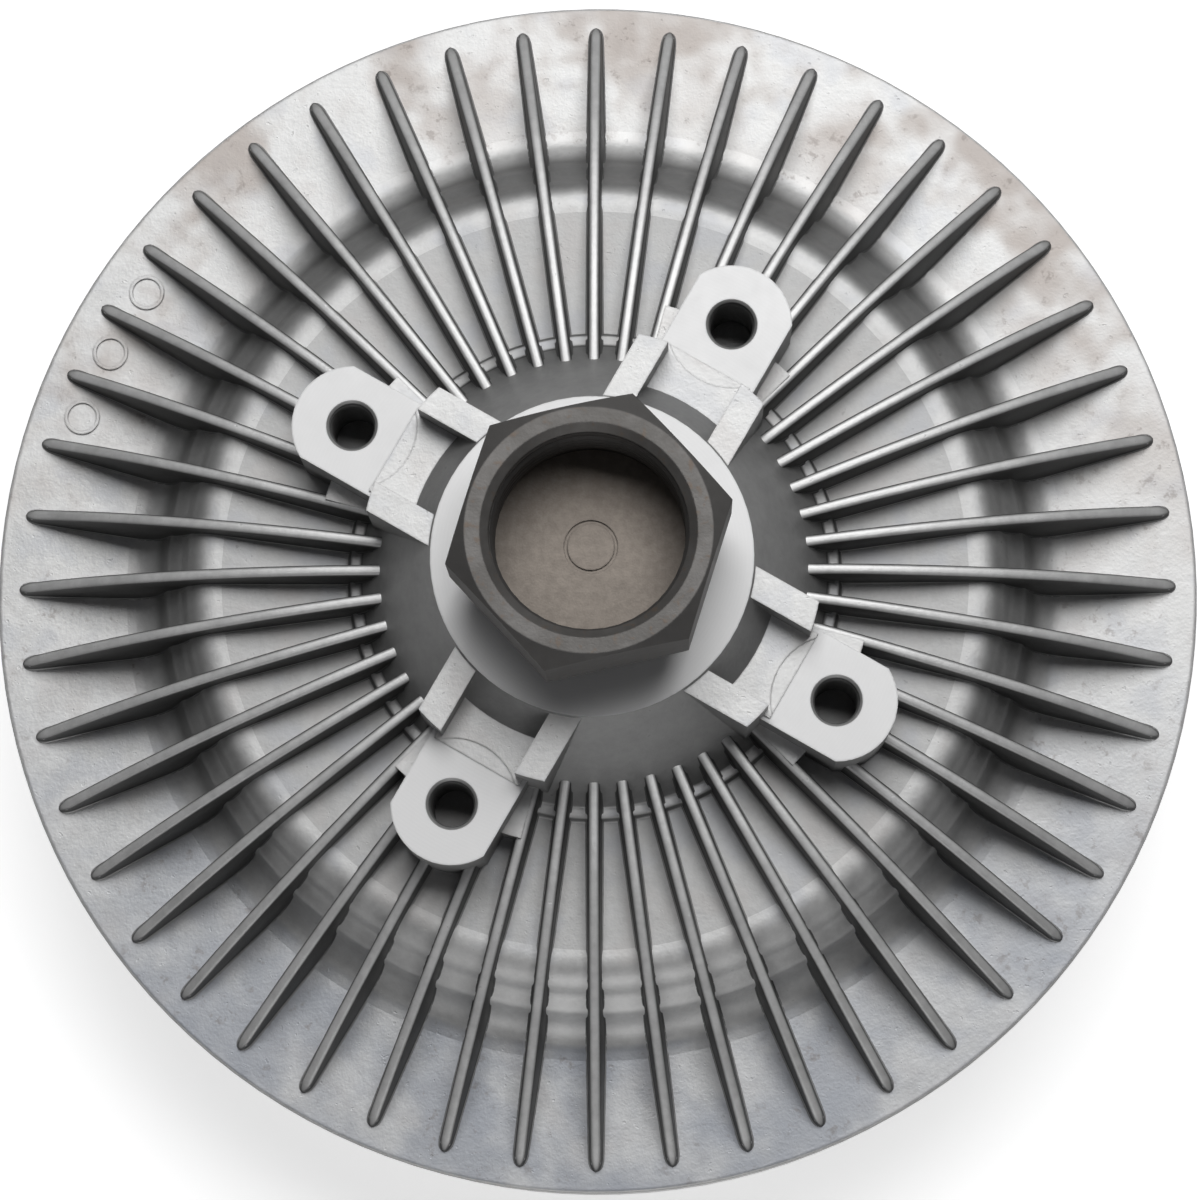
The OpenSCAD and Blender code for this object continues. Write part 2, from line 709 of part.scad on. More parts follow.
module bimetal_coil() color([0.66, 0.6, 0.5]) {
    rotate(post_angle)
        translate([0, strip_t / 2, coil_front_z]) {
            // inner end across the valve shaft
            translate([1 - valve_r, -strip_t, 0])
                cube([coil_r0 + strip_t / 2 + valve_r - 1, strip_t, strip_w]);
            for (i = [0 : coil_turns - 1]) {
                r = coil_r0 + i * coil_pitch;
                rotate_extrude(angle = 180)
                    translate([r - strip_t / 2, 0])
                        square([strip_t, strip_w]);
                translate([coil_pitch / 2, 0, 0])
                    rotate(180)
                        rotate_extrude(angle = 180)
                            translate([r + coil_pitch / 2 - strip_t / 2, 0])
                                square([strip_t, strip_w]);
            }
            // outer end in the cover's post
            translate([coil_end_r - strip_t / 2, -strip_t, 0])
                cube([post_x + post_r - 1.2 - coil_end_r, strip_t, strip_w]);
        }
}

rear_housing();
input_shaft();
bearing_outer_race();
bearing_inner_race();
bearing_balls();
bearing_cage();
bearing_seal_rear();
bearing_seal_front();
bearing_ring();
rotor();
front_cover();
cover_seal_ring();
pump_plate();
plate_rivets();
fluid_wipers();
valve_arm();
valve_shaft();
valve_shaft_o_ring();
valve_shaft_bush();
valve_shaft_clip();
bimetal_coil();
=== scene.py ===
import json
import math

import bmesh
import bpy
from mathutils import Matrix, Vector


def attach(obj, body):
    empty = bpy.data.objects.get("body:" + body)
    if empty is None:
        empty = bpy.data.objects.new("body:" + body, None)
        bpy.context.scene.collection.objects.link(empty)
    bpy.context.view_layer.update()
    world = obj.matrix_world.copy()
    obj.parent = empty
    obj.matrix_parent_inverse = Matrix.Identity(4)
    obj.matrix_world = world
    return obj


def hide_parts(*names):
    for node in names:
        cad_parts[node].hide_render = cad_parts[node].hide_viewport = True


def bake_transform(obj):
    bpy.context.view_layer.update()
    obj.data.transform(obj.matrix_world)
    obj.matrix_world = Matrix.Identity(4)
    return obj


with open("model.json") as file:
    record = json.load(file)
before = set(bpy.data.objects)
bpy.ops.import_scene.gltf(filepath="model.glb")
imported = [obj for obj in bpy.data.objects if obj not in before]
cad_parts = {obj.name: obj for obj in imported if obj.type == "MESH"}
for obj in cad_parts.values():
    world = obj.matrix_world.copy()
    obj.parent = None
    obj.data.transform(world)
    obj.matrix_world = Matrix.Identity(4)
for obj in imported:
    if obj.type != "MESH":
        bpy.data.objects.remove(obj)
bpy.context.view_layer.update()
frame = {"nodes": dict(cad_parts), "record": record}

# The viscous fan clutch, dressed: finishes for every piece; threads, rounded fins, a soft step
# and a two-metal coil as added pieces; a pale floor, two soft lamps and the camera.

MM = 0.001

# Heights of the machined and cast faces, in millimetres above the floor.
RIM_Z = 34.0
RAISED_Z = 46.2
LUG_Z = 59.3
BEAD_Z = 47.4
BOSS_Z = 65.6
GROUND_Z = 64.0
NUT_Z = 88.5
NUT_FLOOR_Z = 73.3

# Radii from the clutch axis, in millimetres.
STEP_R = 66.8
STEP_MID_R = 63.8
BEAD_R = 36.0
BOSS_R = 23.7
NUT_FACE_R = 17.4
NUT_BORE_R = 14.2
BOLT_CIRCLE_R = 41.275
LUG_ANGLES = (60, 150, 240, 330)
LUG_BORE_R = 3.45

# Rear face of the casting, from the rim in to the boss: radius, height and corner rounding.
REAR_FACE = (
    (92.0, 34.0, 0.6), (68.0, 34.0, 6.0), (65.2, 40.0, 3.0), (63.0, 41.7, 5.0), (60.4, 46.2, 5.6),
    (37.2, 46.2, 0.5), (36.8, 47.4, 0.5), (35.2, 47.5, 0.6), (23.7, 65.6, 0.0),
)

# The step's skin runs between these radii. Its hidden side lies inside the casting's wall:
# radius and height.
STEP_SKIN_IN_R = 54.0
STEP_SKIN_OUT_R = 73.0
STEP_BACK = ((52.0, 45.0), (58.6, 44.4), (62.4, 38.6), (66.4, 33.2), (74.2, 33.0))

# Rear fins, in millimetres. The crest is an arc from the hub out to the tip; the skin stands
# a little over the solid, so that its rounded edges cover the solid's sharp ones.
FIN_COUNT = 48
FIN_IN_R = 31.0
FIN_TIP_R = 88.1
FIN_H = 18.3
FIN_TIP_H = 1.1
FIN_DRAFT = math.tan(math.radians(2.4))
FIN_FLAT = 0.22
FIN_ROUND = 0.66
FIN_HALF = FIN_FLAT + FIN_ROUND
FIN_LIFT = 0.34
FIN_TAPER = 2.0
FIN_END_R = 88.7
FIN_ROOT = 0.3
FIN_START_R = 29.5
LUG_FIN_START_R = 47.0

# The bimetal strip, in millimetres, wound as half circles from the valve shaft to the post.
STRIP_T = 0.9
STRIP_W = 5.0
STRIP_Z = 1.6
COIL_TURNS = 6
COIL_PITCH = 2.6
COIL_START_R = 5.0
COIL_INNER_X = -2.5
COIL_OUTER_X = 27.9
POST_ANGLE = 320

# Hair's breadth between the floor and the cover's fin crests, in millimetres.
FLOOR_GAP = 0.1

CAST_COLOUR = (0.78, 0.78, 0.775)

# The point that both lamps face, in metres.
LAMP_AIM = (0, 0, 0.04)


# Shader arithmetic

class Value:
    """A socket that takes part in Python arithmetic: each operation adds one Math node."""

    def __init__(self, sheet, socket):
        self.sheet = sheet
        self.socket = socket

    def math(self, operation, *values):
        return self.sheet.node("Math", {"operation": operation}, dict(enumerate(values)))

    def absolute(self):
        return self.math("ABSOLUTE", self)

    def sine(self):
        return self.math("SINE", self)

    def larger(self, other):
        return self.math("MAXIMUM", self, other)

    def smaller(self, other):
        return self.math("MINIMUM", self, other)

    def __add__(self, other):
        return self.math("ADD", self, other)

    def __radd__(self, other):
        return self.math("ADD", other, self)

    def __sub__(self, other):
        return self.math("SUBTRACT", self, other)

    def __rsub__(self, other):
        return self.math("SUBTRACT", other, self)

    def __mul__(self, other):
        return self.math("MULTIPLY", self, other)

    def __rmul__(self, other):
        return self.math("MULTIPLY", other, self)

    def __pow__(self, other):
        return self.math("POWER", self, other)


class Sheet:
    """A node tree with one way to add a node, and the few patterns that the finishes share."""

    def __init__(self, owner):
        owner.use_nodes = True
        self.owner = owner
        self.tree = owner.node_tree
        self.tree.nodes.clear()

    def node(self, kind, settings=None, inputs=None, output=0):
        made = self.tree.nodes.new("ShaderNode" + kind)
        for key, value in (settings or {}).items():
            setattr(made, key, value)
        for key, value in (inputs or {}).items():
            self.feed(made.inputs[key], value)
        return Value(self, made.outputs[output]) if made.outputs else None

    def feed(self, socket, value):
        if isinstance(value, Value):
            self.tree.links.new(value.socket, socket)
        elif isinstance(value, tuple) and socket.type == "RGBA":
            socket.default_value = (*value, 1.0)
        else:
            socket.default_value = value

    # Where a point lies, in millimetres in the part's own frame.

    def place(self):
        at = self.node("TexCoord", output="Object")
        return self.node("VectorMath", {"operation": "SCALE"}, {0: at, "Scale": 1 / MM})

    def parts(self, vector):
        split = self.node("SeparateXYZ", inputs={0: vector})
        sockets = split.socket.node.outputs
        return [Value(self, sockets[axis]) for axis in ("X", "Y", "Z")]

    # Patterns.

    def smooth(self, value, low, high):
        """0 below low, 1 above high, with a soft step between them."""
        return self.node(
            "MapRange",
            {"interpolation_type": "SMOOTHSTEP"},
            {"Value": value, "From Min": low, "From Max": high},
        )

    def fall(self, value, low, high):
        """1 below low, 0 above high."""
        return 1 - self.smooth(value, low, high)

    def band(self, value, middle, reach, soft):
        """1 within reach of the middle, and 0 past a soft edge."""
        return self.fall((value - middle).absolute(), reach, reach + soft)

    def noise(self, at, scale, detail=3.0, roughness=0.55):
        return self.node(
            "TexNoise",
            {"noise_dimensions": "3D"},
            {"Vector": at, "Scale": scale, "Detail": detail, "Roughness": roughness},
        )

    def tint(self, factor, first, second):
        """The first colour where the factor is 0, the second where it is 1."""
        return self.node("Mix", {"data_type": "RGBA"}, {0: factor, 6: first, 7: second}, 2)

    def shade(self, colour, value):
        """A colour made darker or lighter by a value."""
        grey = self.node("CombineColor", inputs={0: value, 1: value, 2: value})
        settings = {"data_type": "RGBA", "blend_type": "MULTIPLY"}
        return self.node("Mix", settings, {0: 1.0, 6: colour, 7: grey}, 2)

    def relief(self, height, depth_mm, rounding_mm=0.0):
        """A normal from a height, over edges rounded by a small radius."""
        inputs = {"Height": height, "Strength": 1.0, "Distance": depth_mm * MM}
        if rounding_mm:
            inputs["Normal"] = self.node("Bevel", {"samples": 2}, {"Radius": rounding_mm * MM})
        return self.node("Bump", inputs=inputs)


class Finish(Sheet):
    """A material with one Principled surface."""

    def __init__(self, name):
        super().__init__(bpy.data.materials.new(name))
        self.material = self.owner

    def surface(self, **inputs):
        named = {key.replace("_", " ").title(): value for key, value in inputs.items()}
        body = self.node("BsdfPrincipled", inputs=named)
        self.node("OutputMaterial", inputs={"Surface": body})
        return self.material


# Finishes

class CastSkin:
    """The mottled skin of a die casting: how light it is, how rough, and its fine relief."""

    def __init__(self, f, at):
        self.clouds = f.noise(at, 0.05, 3.0, 0.65)
        self.mottle = f.noise(at, 0.22, 2.0, 0.65)
        speck = f.noise(at, 0.9, 2.0, 0.65)
        grain = f.noise(at, 2.6, 1.0, 0.5)
        dents = f.smooth(speck, 0.66, 0.76)
        pits = dents * f.smooth(self.mottle, 0.45, 0.65)
        tone = 0.58 + 0.20 * self.clouds + 0.40 * self.mottle + 0.26 * speck
        self.tone = tone * (1 - 0.25 * pits)
        self.roughness = 0.42 + 0.10 * self.mottle + 0.06 * speck
        self.height = 0.6 * grain + 1.1 * speck - 0.8 * dents


def cast_fins():
    """The fins' skin, with painted shade on the steep flanks."""
    f = Finish("cast_aluminium_fins")
    skin = CastSkin(f, f.place())
    up = f.parts(f.node("NewGeometry", output="Normal"))[2]
    # Painted shade: the steep flanks are darkened in colour below.
    steep = f.fall(up, 0.5, 0.99)
    return f.surface(
        base_color=f.shade(CAST_COLOUR, skin.tone * (1 - 0.82 * steep)),
        metallic=0.55,
        roughness=skin.roughness,
        normal=f.relief(skin.height, 0.03),
    )


def cast_aluminium(name, rounding_mm, on_step=False):
    """Die-cast aluminium: mottled skin, beige patches on the rim's far side, turned lugs and boss,
    and painted shade on steep faces, the raised flat, the bead, the bores, the rim's near side and
    the step's far side.
    """
    f = Finish(name)
    at = f.place()
    cast = CastSkin(f, at)
    x, y, z = f.parts(at)
    radius = (x * x + y * y) ** 0.5
    up = f.parts(f.node("NewGeometry", output="Normal"))[2]
    level = f.smooth(up, 0.93, 0.985)
    rear = f.smooth(z, RIM_Z - 0.6, RIM_Z)
    steep = f.fall(up, 0.5, 0.99) * (0.5 + 0.5 * rear)

    # The four lugs lie a quarter turn apart, so one fold of the plane brings them together.
    turn = math.radians(LUG_ANGLES[0])
    along = (x * math.cos(turn) + y * math.sin(turn)).absolute()
    across = (y * math.cos(turn) - x * math.sin(turn)).absolute()
    out = along.larger(across) - BOLT_CIRCLE_R
    side = along.smaller(across)
    bolt_r = (out * out + side * side) ** 0.5
    # Painted shade: the lug bores' walls are tinted towards black in colour.
    bore_shade = f.fall(bolt_r, LUG_BORE_R, LUG_BORE_R + 0.15)
    bore_shade = bore_shade * f.fall(z, LUG_Z - 1.6, LUG_Z - 0.3) * rear

    pads = f.band(z, LUG_Z, 0.1, 0.05)
    boss = f.band(z, BOSS_Z, 0.1, 0.05) * f.fall(radius, BOSS_R, BOSS_R + 1.0)
    turned = level * (pads + boss)
    raised = level * f.band(z, RAISED_Z, 0.3, 0.2)
    rim = level * f.band(z, RIM_Z, 0.5, 0.3) * f.smooth(radius, STEP_R - 1, STEP_R + 1)

    if on_step:
        # Painted shade: on the step skin, the step's band is darker in colour towards the far
        # side.
        far_side = f.smooth(y, -60, -20)
        painted_shade = 1 - 0.66 * far_side * f.band(radius, STEP_MID_R, 2.6, 2.6)
    else:
        bead = f.band(radius, BEAD_R, 1.2, 0.3) * f.band(z, BEAD_Z, 0.5, 0.2)
        bead = bead * f.smooth(y, -30, 0)
        # Painted shade: steep faces, the raised flat between the fins and the bead towards the far
        # side are darkened in colour.
        painted_shade = (1 - 0.64 * steep) * (1 - 0.2 * raised) * (1 - 0.4 * bead)
    skin = f.shade(CAST_COLOUR, cast.tone * painted_shade)

    patch = f.smooth(cast.clouds, 0.40, 0.60)
    warm = rim * f.smooth(y, -10, 50) * patch * f.smooth(radius, 66, 86)
    # Painted shade: the rim's near side is darker and bluish-grey, heavier in cloud patches.
    near_rim_shade = rim * f.fall(y, -70, 0) * (0.3 + 0.7 * f.smooth(cast.clouds, 0.38, 0.60))
    grime = rim * patch * f.smooth(f.noise(at, 0.4, 3.0, 0.75), 0.58, 0.70)
    hue = f.noise(at, 0.09, 2.0, 0.65)
    skin = f.tint(0.35 * level * f.fall(hue, 0.34, 0.48), skin, (0.56, 0.58, 0.63))
    skin = f.tint(0.35 * level * f.smooth(hue, 0.52, 0.66), skin, (0.64, 0.61, 0.595))
    skin = f.tint(0.70 * warm, skin, (0.57, 0.50, 0.455))
    skin = f.tint(0.68 * near_rim_shade, skin, (0.37, 0.40, 0.46))
    skin = f.tint(0.42 * grime, skin, (0.26, 0.22, 0.20))

    marks = (radius * (2 * math.pi / 0.55)).sine()
    bright = f.shade((0.88, 0.88, 0.88), 0.96 + 0.006 * marks + 0.06 * cast.mottle)
    colour = f.tint(turned, skin, bright)
    colour = f.tint(0.36 * bore_shade, colour, (0.015, 0.015, 0.015))

    height = (1 - turned) * cast.height + 0.02 * turned * marks
    return f.surface(
        base_color=colour,
        metallic=0.55 - 0.2 * turned,
        roughness=cast.roughness + 0.08 * (warm + raised) - 0.02 * turned,
        normal=f.relief(height, 0.03, rounding_mm),
    )


def dark_steel():
    """The forged nut and shaft: dark oxide, with brown rust on the face and the bore's floor, and
    painted shade on the floor towards the bore's wall.
    """
    f = Finish("dark_steel")
    at = f.place()
    x, y, z = f.parts(at)
    radius = (x * x + y * y) ** 0.5
    up = f.parts(f.node("NewGeometry", output="Normal"))[2]
    level = f.smooth(up, 0.8, 0.95)

    clouds = f.noise(at, 0.12, 4.0, 0.65)
    mottle = f.noise(at, 0.6, 4.0, 0.6)
    grain = f.noise(at, 3.0, 2.0, 0.55)

    floor = level * f.band(z, NUT_FLOOR_Z, 0.5, 0.3)
    face = f.smooth(up, 0.5, 0.68) * f.smooth(z, NUT_Z - 1.5, NUT_Z - 1.1)
    face = face * f.fall(radius, NUT_FACE_R, NUT_FACE_R + 0.3)
    ground = f.fall(z, GROUND_Z - 1, GROUND_Z)

    scale = f.shade((0.12, 0.116, 0.112), 0.75 + 0.4 * clouds + 0.2 * mottle)
    rings = (radius * (2 * math.pi / 1.3) + 3 * clouds).sine()
    rust = f.tint(f.smooth(mottle, 0.3, 0.7), (0.32, 0.28, 0.245), (0.42, 0.37, 0.325))
    rust = f.shade(rust, 0.95 + 0.015 * rings + 0.25 * (grain - 0.5) + 0.4 * (clouds - 0.5))
    worn = f.tint(f.smooth(clouds, 0.35, 0.65), (0.165, 0.158, 0.15), (0.22, 0.212, 0.204))
    worn = f.tint(0.6 * f.smooth(mottle, 0.55, 0.7), worn, (0.22, 0.165, 0.125))
    colour = f.tint(face, scale, worn)
    # Painted shade: the bore's floor is darker towards the wall.
    colour = f.tint(floor, colour, f.shade(rust, 1.06 - 0.16 * f.smooth(radius, 6, 14)))
    colour = f.tint(ground, colour, (0.55, 0.55, 0.56))
    return f.surface(
        base_color=colour,
        metallic=0.55 + 0.45 * ground,
        roughness=0.46 + 0.14 * mottle + 0.10 * floor - 0.2 * ground,
        normal=f.relief(0.7 * mottle + 0.5 * grain, 0.05, 0.3),
    )


def steel(name, colour, roughness, streak, depth):
    """Rolled or ground steel, with a faint streak and grain."""
    f = Finish(name)
    at = f.place()
    cloud = f.noise(at, 0.25, 3.0, 0.6)
    grain = f.noise(at, streak, 3.0, 0.6)
    return f.surface(
        base_color=f.shade(colour, 0.84 + 0.2 * cloud + 0.12 * grain),
        metallic=1.0,
        roughness=roughness + 0.14 * grain,
        normal=f.relief(grain, depth, 0.1),
    )


def seal_rubber():
    """Black moulded rubber with a dusty bloom."""
    f = Finish("seal_rubber")
    at = f.place()
    bloom = f.smooth(f.noise(at, 0.4, 4.0, 0.6), 0.35, 0.75)
    grain = f.noise(at, 3.5, 2.0, 0.5)
    return f.surface(
        base_color=f.tint(0.5 * bloom, (0.022, 0.022, 0.022), (0.055, 0.054, 0.052)),
        roughness=0.55 + 0.2 * grain,
        normal=f.relief(grain, 0.03),
    )


def wiper_plastic():
    """Cream moulded plastic, a little yellowed by the fluid."""
    f = Finish("wiper_plastic")
    at = f.place()
    aged = f.noise(at, 0.35, 4.0, 0.6)
    grain = f.noise(at, 3.0, 2.0, 0.5)
    return f.surface(
        base_color=f.tint(aged, (0.80, 0.75, 0.62), (0.70, 0.62, 0.45)),
        roughness=0.42 + 0.12 * grain,
        normal=f.relief(grain, 0.02),
    )


FINISHES = {
    "cast_aluminium": cast_aluminium("cast_aluminium", 0.35),
    "machined_aluminium": steel("machined_aluminium", (0.74, 0.74, 0.74), 0.26, 1.4, 0.015),
    "dark_steel": dark_steel(),
    "bearing_steel": steel("bearing_steel", (0.60, 0.61, 0.63), 0.16, 2.0, 0.006),
    "ball_steel": steel("ball_steel", (0.78, 0.78, 0.80), 0.05, 0.8, 0.002),
    "cage_brass": steel("cage_brass", (0.70, 0.52, 0.25), 0.28, 1.8, 0.012),
    "seal_rubber": seal_rubber(),
    "spring_steel": steel("spring_steel", (0.16, 0.16, 0.17), 0.36, 1.6, 0.012),
    "plate_steel": steel("plate_steel", (0.58, 0.57, 0.55), 0.28, 1.2, 0.012),
    "wiper_plastic": wiper_plastic(),
    "bush_bronze": steel("bush_bronze", (0.58, 0.40, 0.19), 0.40, 2.4, 0.03),
    "bimetal_strip": steel("bimetal_strip", (0.60, 0.58, 0.55), 0.30, 0.9, 0.012),
}
CAST_FIN = cast_fins()
CAST_STEP = cast_aluminium("cast_aluminium_step", 0.0, on_step=True)
STRIP_BACK = steel("bimetal_strip_back", (0.66, 0.52, 0.30), 0.30, 0.9, 0.012)

for row in frame["record"]["subparts"]:
    mesh = frame["nodes"][row["node"]].data
    mesh.materials.clear()
    mesh.materials.append(FINISHES[row["material_slot"]])


# Pieces

def piece(name, verts_mm, faces, materials):
    """A mesh object from points in millimetres."""
    mesh = bpy.data.meshes.new(name)
    mesh.from_pydata([Vector(v) * MM for v in verts_mm], [], faces)
    for material in materials:
        mesh.materials.append(material)
    work = bmesh.new()
    work.from_mesh(mesh)
    bmesh.ops.recalc_face_normals(work, faces=work.faces)
    work.to_mesh(mesh)
    work.free()
    made = bpy.data.objects.new(name, mesh)
    bpy.context.scene.collection.objects.link(made)
    return made


def swept(rings):
    """Points and faces of a closed skin through rings of equal length, with both ends capped."""
    count = len(rings[0])
    verts = [point for ring in rings for point in ring]
    faces = [
        (a + i, a + (i + 1) % count, a + count + (i + 1) % count, a + count + i)
        for a in range(0, len(verts) - count, count)
        for i in range(count)
    ]
    faces.append(tuple(range(count)))
    faces.append(tuple(range(len(verts) - count, len(verts))))
    return verts, faces


def thread_ridge(centre, bore_r, low_z, high_z, pitch, height):
    """One helical ridge on the wall of a bore, running out at both ends."""
    steps = 40
    turns = (high_z - low_z) / pitch
    total = round(turns * steps)
    rings = []
    for i in range(total + 1):
        angle = 2 * math.pi * i / steps
        rise = min(1.0, i / (steps / 2), (total - i) / (steps / 2)) * height
        z = low_z + pitch * i / steps
        rings.append([
            (centre[0] + r * math.cos(angle), centre[1] + r * math.sin(angle), z + dz)
            for r, dz in (
                (bore_r + 0.05, -0.44 * pitch),
                (bore_r - rise, -0.08 * pitch),
                (bore_r - rise, 0.08 * pitch),
                (bore_r + 0.05, 0.44 * pitch),
            )
        ])
    return swept(rings)


def joined(parts):
    """Several skins as one list of points and faces."""
    verts, faces = [], []
    for part_verts, part_faces in parts:
        start = len(verts)
        verts += part_verts
        faces += [tuple(start + i for i in face) for face in part_faces]
    return verts, faces


def around(angle, radius):
    return radius * math.cos(math.radians(angle)), radius * math.sin(math.radians(angle))


pump_thread = piece(
    "pump_thread",
    *thread_ridge((0, 0), NUT_BORE_R, NUT_FLOOR_Z + 2.2, NUT_Z - 2.0, pitch=2.0, height=0.5),
    [FINISHES["dark_steel"]],
)
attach(pump_thread, "drive")

lug_threads = piece(
    "lug_threads",
    *joined([
        thread_ridge(
            around(a, BOLT_CIRCLE_R), LUG_BORE_R, LUG_Z - 13.2, LUG_Z - 1.0, pitch=1.25, height=0.3
        )
        for a in LUG_ANGLES
    ]),
    [FINISHES["cast_aluminium"]],
)
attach(lug_threads, "housing")


def coil_path():
    """Centre line of the bimetal strip, from the valve shaft out to the post, along X."""
    bend = 1.6
    points = [(COIL_INNER_X, 0.0), (COIL_START_R - bend, 0.0)]
    points += [
        (COIL_START_R - bend + bend * math.sin(a), bend - bend * math.cos(a))
        for a in (math.radians(15 * i) for i in range(1, 6))
    ]
    half_turn = 26
    for i in range(2 * COIL_TURNS):
        outer = i % 2
        radius = COIL_START_R + i * COIL_PITCH / 2
        centre = COIL_PITCH / 2 if outer else 0.0
        for k in range(half_turn):
            angle = math.pi * (outer + k / half_turn)
            at = (centre + radius * math.cos(angle), radius * math.sin(angle))
            first_bend = i == 0 and at[1] < bend
            last_bend = i == 2 * COIL_TURNS - 1 and k > half_turn / 2 and at[1] > -bend
            if not (first_bend or last_bend):
                points.append(at)
    end_r = COIL_START_R + COIL_TURNS * COIL_PITCH
    points += [
        (end_r + bend - bend * math.cos(a), bend * math.sin(a) - bend)
        for a in (math.radians(15 * i) for i in range(1, 7))
    ]
    points.append((COIL_OUTER_X, 0.0))
    return [Vector(p) for p in points]


def bimetal_coil():
    """The strip as two bonded metals, and how far along it each of its points lies."""
    path = coil_path()
    turn = Matrix.Rotation(math.radians(POST_ANGLE), 2)
    along = [0.0]
    for a, b in zip(path, path[1:]):
        along.append(along[-1] + (b - a).length)
    rings, shares = [], []
    for i, at in enumerate(path):
        ahead = path[min(i + 1, len(path) - 1)] - path[max(i - 1, 0)]
        side = Vector((ahead.y, -ahead.x)).normalized() * STRIP_T / 2
        rings.append([
            (*(turn @ (at + side * s)), STRIP_Z + h)
            for s, h in ((-1, 0), (-1, STRIP_W), (0, STRIP_W), (1, STRIP_W), (1, 0), (0, 0))
        ])
        shares += [along[i] / along[-1]] * 6
    coil = piece("bimetal_coil_strip", *swept(rings), [FINISHES["bimetal_strip"], STRIP_BACK])
    for face in coil.data.polygons:
        ring_sides = sorted(v % 6 for v in face.vertices)
        face.material_index = 1 if ring_sides in ([2, 2, 3, 3], [3, 3, 4, 4], [4, 4, 5, 5]) else 0
    return coil, shares


def corner_arc(before, at, after, radius):
    """Points of an arc that rounds one corner of an outline."""
    u = (before - at).normalized()
    v = (after - at).normalized()
    half = math.acos(u.dot(v)) / 2
    middle = at + (u + v).normalized() * radius / math.sin(half)
    start = at + u * radius / math.tan(half) - middle
    end = at + v * radius / math.tan(half) - middle
    steps = 8
    turn = start.angle_signed(end)
    return [middle + Matrix.Rotation(-turn * i / steps, 2) @ start for i in range(steps + 1)]


def rear_face():
    """The casting's rear face with its corners rounded, from the rim inwards."""
    rows = [(Vector(row[:2]), row[2]) for row in REAR_FACE]
    points = [rows[0][0]]
    for before, (at, radius), after in zip(rows, rows[1:], rows[2:]):
        points += corner_arc(before[0], at, after[0], radius)
    return points + [rows[-1][0]]


def height_at(outline, radius):
    """Height of an outline that runs inwards, at one radius."""
    for a, b in zip(outline, outline[1:]):
        if b.x <= radius <= a.x and a.x > b.x:
            return a.y + (b.y - a.y) * (a.x - radius) / (a.x - b.x)
    return outline[-1].y


def fin_half(top, foot, share):
    """Half of a fin's section, from the crest to the foot: sideways and up."""
    rounding = min(FIN_ROUND, 0.7 * (top - foot))
    half = [(0.0, top)]
    half += [
        (share * (FIN_FLAT + FIN_ROUND * math.sin(a)), top - rounding * (1 - math.cos(a)))
        for a in (math.radians(18 * i) for i in range(5))
    ]
    root = min(FIN_ROOT, 0.3 * (top - foot))
    flank = share * FIN_HALF + FIN_DRAFT * max(0.0, top - rounding - foot - root)
    half += [
        (flank + root - root * math.cos(a), foot + root - root * math.sin(a))
        for a in (math.radians(29 * i) for i in range(4))
    ]
    half.append((flank + root + 0.05, foot - 0.6))
    return half


def rear_fin_skin(outline, start_r):
    """One rear fin along X: a crest with rounded edges, drafted flanks and a round tip."""
    drop = FIN_H - FIN_TIP_H
    run = FIN_TIP_R - FIN_IN_R
    crest_r = (run * run + drop * drop) / (2 * drop)
    taper_r = FIN_END_R - FIN_TAPER
    steps = 44
    stations = [(start_r + (taper_r - start_r) * i / steps, 1.0) for i in range(steps)]
    stations += [
        (taper_r + FIN_TAPER * math.sin(a), math.cos(a))
        for a in (math.radians(12 * i) for i in range(8))
    ]
    rings = []
    for x, share in stations:
        crest = RIM_Z + FIN_H - crest_r + math.sqrt(crest_r ** 2 - (x - FIN_IN_R) ** 2) + FIN_LIFT
        foot = min(height_at(outline, x), crest - 0.8)
        half = fin_half(foot + (crest - foot) * share ** 0.6, foot, share)
        rings.append([(x, -y, z) for y, z in reversed(half[1:])] + [(x, y, z) for y, z in half])
    return swept(rings)


def step_skin(outline):
    """The smooth step between the rim and the raised flat: a closed ring about the clutch axis."""
    cover = 0.04
    low_r, high_r = STEP_SKIN_IN_R + 1.0, STEP_SKIN_OUT_R - 0.5
    shown = [Vector((p.x, p.y + cover)) for p in outline if low_r < p.x < high_r]
    foot = Vector((STEP_SKIN_OUT_R, RIM_Z - 0.1))
    top = Vector((STEP_SKIN_IN_R, RAISED_Z - 0.1))
    # Both ends run on in a straight line under the casting's face, to keep the shading even.
    row = [2 * foot - shown[0], foot, *shown, top, 2 * top - shown[-1], *STEP_BACK]
    steps = 240
    verts = [
        (r * math.cos(a), r * math.sin(a), z)
        for a in (2 * math.pi * i / steps for i in range(steps))
        for r, z in row
    ]
    count = len(row)
    faces = []
    for i in range(steps):
        here, there = i * count, (i + 1) % steps * count
        faces += [(here + k, there + k, there + (k + 1) % count, here + (k + 1) % count)
                  for k in range(count)]
    return verts, faces


def turned_copies(part, angles):
    """Copies of a skin, turned about the clutch axis."""
    verts, faces = part
    copies = []
    for angle in angles:
        turn = Matrix.Rotation(math.radians(angle), 3, "Z")
        copies.append(([tuple(turn @ Vector(v)) for v in verts], faces))
    return copies


def smooth_cast(name, part, finish):
    """A smooth cast skin that rides with the housing."""
    made = piece(name, *part, [finish])
    made.data.shade_smooth()
    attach(made, "housing")


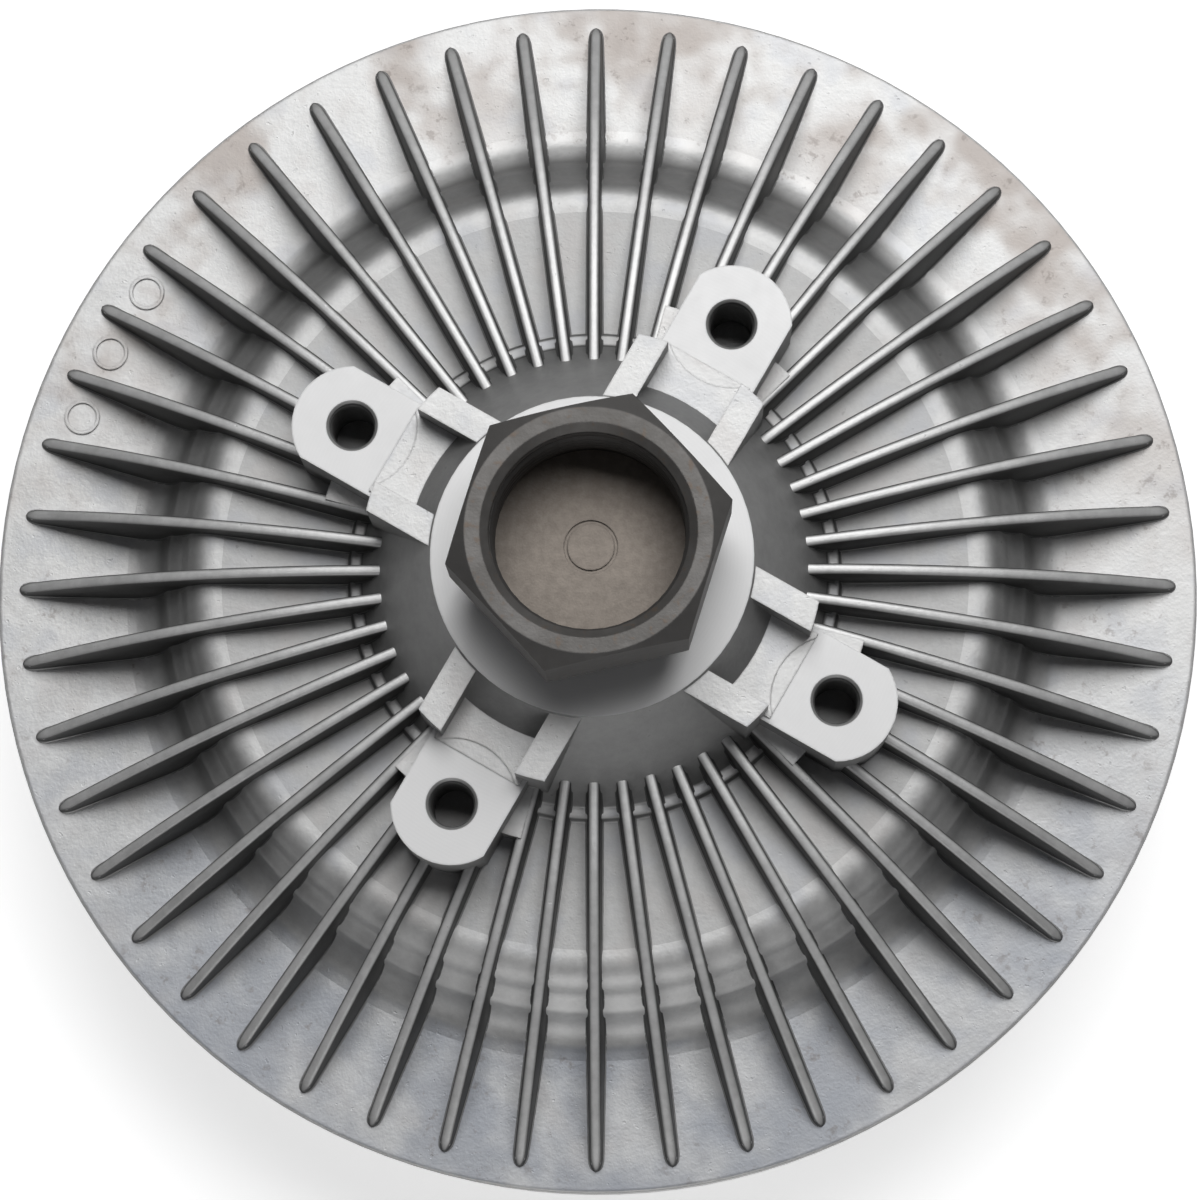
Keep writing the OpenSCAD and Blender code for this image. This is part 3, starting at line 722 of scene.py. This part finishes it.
face_line = rear_face()
fin_angles = [90 + 360 * i / FIN_COUNT for i in range(FIN_COUNT)]
lug_fin_angles = [a for a in fin_angles if a % 360 in LUG_ANGLES]
open_fin_angles = [a for a in fin_angles if a % 360 not in LUG_ANGLES]
smooth_cast("rear_fin_skins", joined(
    turned_copies(rear_fin_skin(face_line, FIN_START_R), open_fin_angles)
    + turned_copies(rear_fin_skin(face_line, LUG_FIN_START_R), lug_fin_angles)
), CAST_FIN)
smooth_cast("step_skin", step_skin(face_line), CAST_STEP)

coil, coil_shares = bimetal_coil()
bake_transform(coil)
[1 - s for s in coil_shares]
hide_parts("bimetal_coil")


# Floor, light and camera

def floor_finish():
    """A pale floor that keeps the part's shadow, whiter near the part to the eye."""
    f = Finish("floor")
    x, y, _ = f.parts(f.place())
    near = f.fall((x * x + y * y) ** 0.5, 260, 900)
    path = f.node("LightPath")
    seen = [Value(f, path.socket.node.outputs[name]) for name in
            ("Is Camera Ray", "Is Glossy Ray", "Is Transmission Ray")]
    glow = (seen[0] + seen[1] + seen[2]) * (0.30 + 0.34 * near)
    pale = f.node("BsdfDiffuse", inputs={"Color": (0.86, 0.86, 0.86)})
    white = f.node("Emission", inputs={"Color": f.shade((1.0, 1.0, 1.0), glow), "Strength": 1.0})
    lit = f.node("AddShader", inputs={0: pale, 1: white})
    clear = f.node("BsdfTransparent")
    below = f.node("NewGeometry", output="Backfacing")
    shown = f.node("MixShader", inputs={0: below, 1: lit, 2: clear})
    f.node("OutputMaterial", inputs={"Surface": shown})
    return f.material


def floor():
    """A wide round floor that the part rests on."""
    mesh = bpy.data.meshes.new("floor")
    work = bmesh.new()
    bmesh.ops.create_circle(work, cap_ends=True, segments=128, radius=6.0)
    work.to_mesh(mesh)
    work.free()
    mesh.materials.append(floor_finish())
    made = bpy.data.objects.new("floor", mesh)
    made.location.z = -FLOOR_GAP * MM
    bpy.context.scene.collection.objects.link(made)


def lamp(name, place, aim, width, depth, radiance):
    """A soft rectangular panel of an even radiance, turned to a point."""
    data = bpy.data.lights.new(name, "AREA")
    data.shape = "RECTANGLE"
    data.size, data.size_y = width, depth
    data.energy = radiance * math.pi * width * depth
    made = bpy.data.objects.new(name, data)
    made.location = place
    made.rotation_euler = (Vector(aim) - Vector(place)).to_track_quat("-Z", "Y").to_euler()
    made.visible_camera = False
    bpy.context.scene.collection.objects.link(made)


def room():
    """The dim room round the part and its lamps."""
    world = bpy.data.worlds.new("room")
    bpy.context.scene.world = world
    s = Sheet(world)
    back = s.node("Background", inputs={"Color": (0.05, 0.05, 0.052), "Strength": 1.0})
    s.node("OutputWorld", inputs={"Surface": back})


def camera():
    """The photograph's viewpoint: nearly straight down on the nut, a little from the near side."""
    data = bpy.data.cameras.new("camera")
    data.sensor_width = 36.0
    data.lens = 126.12
    data.shift_x, data.shift_y = 0.0032, -0.0098
    made = bpy.data.objects.new("camera", data)
    bpy.context.scene.collection.objects.link(made)
    back = Vector((0.0194, -0.1519, 0.9882)).normalized()
    right = Vector((0, 1, 0)).cross(back).normalized()
    made.matrix_world = Matrix((right, back.cross(right), back)).transposed().to_4x4()
    distance = 0.645
    made.location = Vector((0, 0, RIM_Z * MM)) + back * distance
    bpy.context.scene.camera = made


floor()
room()
lamp("bank", (0.20, 0.90, 1.86), LAMP_AIM, width=1.5, depth=1.15, radiance=4.7)
lamp("near_panel", (0.0, -1.5, 0.4), LAMP_AIM, width=0.9, depth=0.6, radiance=1.8)
camera()
bpy.context.scene.view_settings.view_transform = "Standard"
